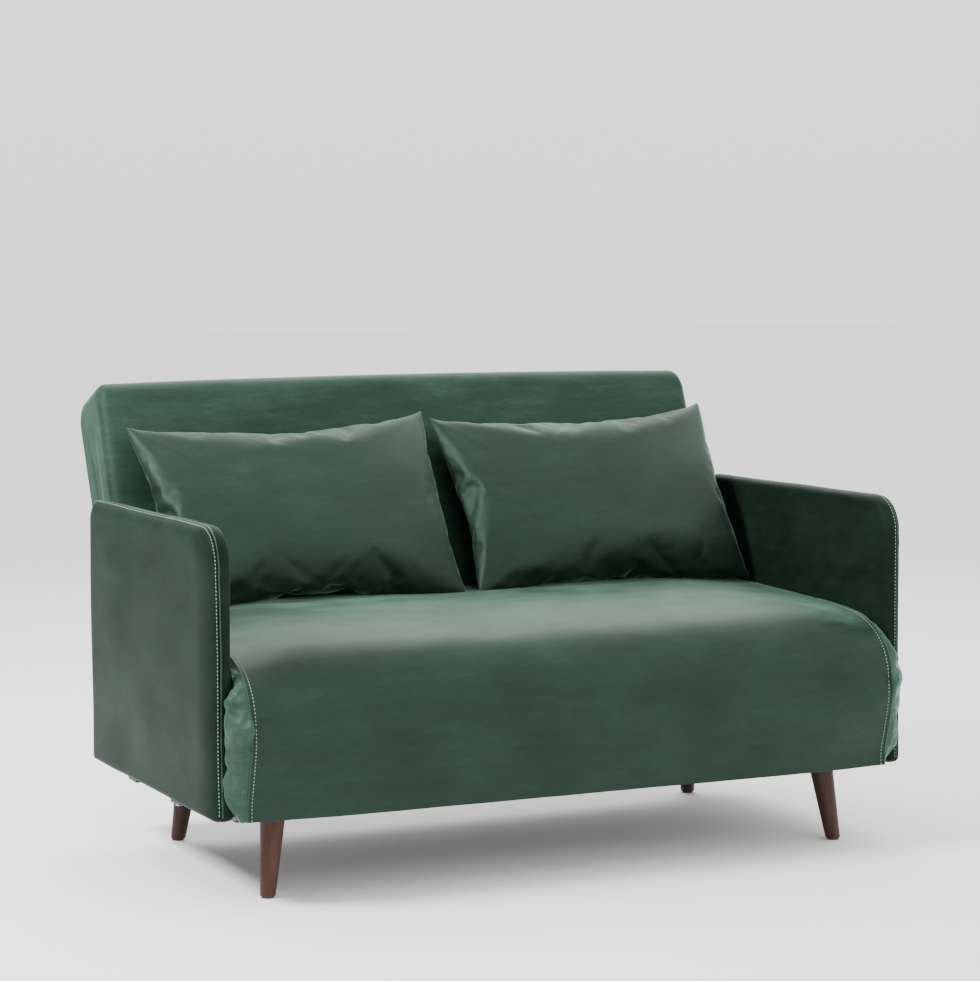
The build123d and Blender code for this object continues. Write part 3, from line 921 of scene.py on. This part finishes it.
def on_back(x, along, through):
    """A point of the back from its distance up the front face and its depth behind that face."""
    y = BACK_PIVOT.y + along * math.sin(BACK_LEAN) + through * math.cos(BACK_LEAN)
    z = BACK_PIVOT.z + along * math.cos(BACK_LEAN) - through * math.sin(BACK_LEAN)
    return Vector((x, y, z))


def back_ring(x, inset_side, inset_top):
    """The back's outline at one place across it, crowned on its front face and bowed along its top."""
    bow = BACK_BOW * (1 - (x / BACK_HALF_TOP) ** 2)
    top = BACK_LENGTH - 4 * MM - inset_top + bow
    low = (3 * MM + inset_side * 0.5, inset_side)
    high = (top, BACK_THICK[1] - inset_side)
    radius = max(BACK_TOP_RADIUS - inset_side * 0.6, 10 * MM)
    ring = []
    for p in rounded_outline(low, high, (BACK_LOW_RADIUS, radius, radius, BACK_LOW_RADIUS)):
        along, through = p
        share = along / BACK_LENGTH
        thick = lerp(BACK_THICK[0], BACK_THICK[1], share) / BACK_THICK[1]
        crown = BACK_CROWN * math.sin(math.pi * min(max(share, 0), 1)) * (1 - (x / BACK_HALF_TOP) ** 4)
        through *= thick
        through += crown * (through / BACK_THICK[1] - 0.4)
        half = lerp(BACK_HALF_LOW, BACK_HALF_TOP, smoothstep(along, *BACK_WIDENS))
        ring.append(on_back(x * half / BACK_HALF_TOP, along, through))
    return ring


def back_give(p):
    """Rumples fade towards the sides, the top edge and the hinge end."""
    sides = smoothstep(BACK_HALF_TOP - abs(p.x), 10 * MM, 60 * MM)
    return sides * smoothstep(p.z, 0.42, 0.60) * (1 - 0.8 * smoothstep(p.z, 0.80, 0.85))


def make_back():
    inner = [(x, 0.0, 0.0) for x in across(BACK_HALF_TOP - BACK_EDGE)]
    right_caps = []
    for angle in steps(12, 90, 8):
        turn = math.radians(angle)
        x = BACK_HALF_TOP - BACK_EDGE + BACK_EDGE * math.sin(turn)
        right_caps.append((x, BACK_EDGE * (1 - math.cos(turn)), BACK_CORNER * (1 - math.cos(turn))))
    for inset in BACK_SIDE_INSETS:
        right_caps.append((BACK_HALF_TOP, inset, inset + BACK_CORNER - BACK_EDGE))
    left_caps = [(-x, inset, top) for x, inset, top in reversed(right_caps)]
    rings = [back_ring(x, inset, top) for x, inset, top in left_caps + inner + right_caps]
    cover = subdivide(closed_loft("back_cover", rings))
    rumple(cover, 2.6 * MM, 0.22, back_give, 9.0)
    rumple(cover, 1.0 * MM, 0.07, back_give, 11.0, (0.7, 1, 1))
    # the back takes a paler velvet copy: painted light
    finish_piece(cover, "green_velvet", "back", "back_velvet_painted_light", ["back_pad"])


# Scatter cushions -------------------------------------------------------------------------------

CUSHION_SIZE = (0.642, 0.418)  # the flat case, before it is filled
CUSHION_GRID = (84, 58)
CUSHION_THICK = 0.128
CUSHION_LEAN = math.radians(34)
FILL_FRAMES, QUICK_FILL_FRAMES = 24, 9
FILL_PRESSURE = 4.6
SLUMP = 0.16  # share of the thickness that sinks from the upper half to the lower
EDGE_BOW = 8 * MM  # how far the top and bottom edges lie behind the middle
TILT = 9 * MM  # rise of the right top corner and fall of the left one
FOOT_SAG = 15 * MM  # sag of the bottom edge in its middle
CORNER_RISE = 9 * MM  # how far the top corners are drawn up


def flat_case(name, seed):
    """Two flat cloths joined at their rim, a little apart in the middle."""
    nx, ny = CUSHION_GRID
    width, height = CUSHION_SIZE
    verts, index = [], {}
    for face in (1, -1):
        for j in range(ny + 1):
            for i in range(nx + 1):
                rim = i in (0, nx) or j in (0, ny)
                if rim and (i, j, 1) in index:
                    index[(i, j, face)] = index[(i, j, 1)]
                    continue
                x, y = width * (i / nx - 0.5), height * (j / ny - 0.5)
                puff = math.sin(math.pi * i / nx) * math.sin(math.pi * j / ny)
                jitter = 0.5 * MM * noise.noise(Vector((x, y, seed + face)) * 45)
                index[(i, j, face)] = len(verts)
                verts.append(Vector((x, y, 0 if rim else face * (1 * MM + 8 * MM * puff) + jitter)))
    faces = []
    for face in (1, -1):
        for j in range(ny):
            for i in range(nx):
                corners = ((i, j), (i + 1, j), (i + 1, j + 1), (i, j + 1))
                quad = [index[(*corner, face)] for corner in corners]
                faces.append(tuple(quad if face > 0 else reversed(quad)))
    return add_mesh(name, verts, faces)


def inflate(obj, frames, pressure):
    """Fill a case with Cloth pressure and keep the result as plain mesh."""
    cloth = obj.modifiers.new("cloth", "CLOTH")
    settings = cloth.settings
    settings.quality = 6
    settings.mass = 0.25
    settings.tension_stiffness = 25
    settings.compression_stiffness = 25
    settings.shear_stiffness = 12
    settings.bending_stiffness = 0.35
    settings.air_damping = 6
    settings.use_pressure = True
    settings.uniform_pressure_force = pressure
    settings.effector_weights.gravity = 0
    cloth.collision_settings.use_collision = False
    cloth.point_cache.frame_start = 1
    cloth.point_cache.frame_end = frames
    for step in range(1, frames + 1):
        bpy.context.scene.frame_set(step)
    apply_modifiers(obj)
    bpy.context.scene.frame_set(1)


def place_cushion(obj, node):
    """Scale the filled case to CUSHION_THICK, slump it a little and lean it back about its CAD middle."""
    low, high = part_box(node)
    centre = (low + high) / 2
    thick = max(v.co.z for v in obj.data.vertices) - min(v.co.z for v in obj.data.vertices)
    turn = Euler((math.pi / 2 - CUSHION_LEAN, 0, 0)).to_matrix()
    half_width, half_height = CUSHION_SIZE[0] / 2, CUSHION_SIZE[1] / 2
    for vertex in obj.data.vertices:
        p = vertex.co.copy()
        t, side = p.y / half_height, p.x / half_width
        p.z *= CUSHION_THICK / thick * (1 - SLUMP * t * (1 - t * t))
        p.z -= EDGE_BOW * t * t
        p.y += TILT * side * smoothstep(t, -1.0, 1.0)
        p.x *= lerp(0.975, 1.0, smoothstep(t, -1.0, 1.0))
        p.y -= FOOT_SAG * (1 - side * side) * smoothstep(-t, 0.2, 1.0)
        p.y += CORNER_RISE * smoothstep(abs(side), 0.86, 1.0) * smoothstep(t, 0.75, 1.0)
        vertex.co = centre + turn @ p
    obj.data.update()


def make_cushions():
    for index, name in enumerate(SIDES):
        cushion = flat_case(f"scatter_cushion_{name}", 3.0 + 4 * index)
        inflate(cushion, FILL_FRAMES, FILL_PRESSURE)
        place_cushion(cushion, f"cushion_cover_{name}")
        subdivide(cushion)
        finish_piece(cushion, "green_velvet", f"cushion_{name}",
                     replaces=[f"cushion_cover_{name}", f"cushion_filling_{name}"])


make_camera()
make_studio()
make_floor()
MATERIALS = make_materials()
paint_cad_nodes()
make_arms()
make_seat_cover()
make_seat_layers()
make_back()
make_cushions()
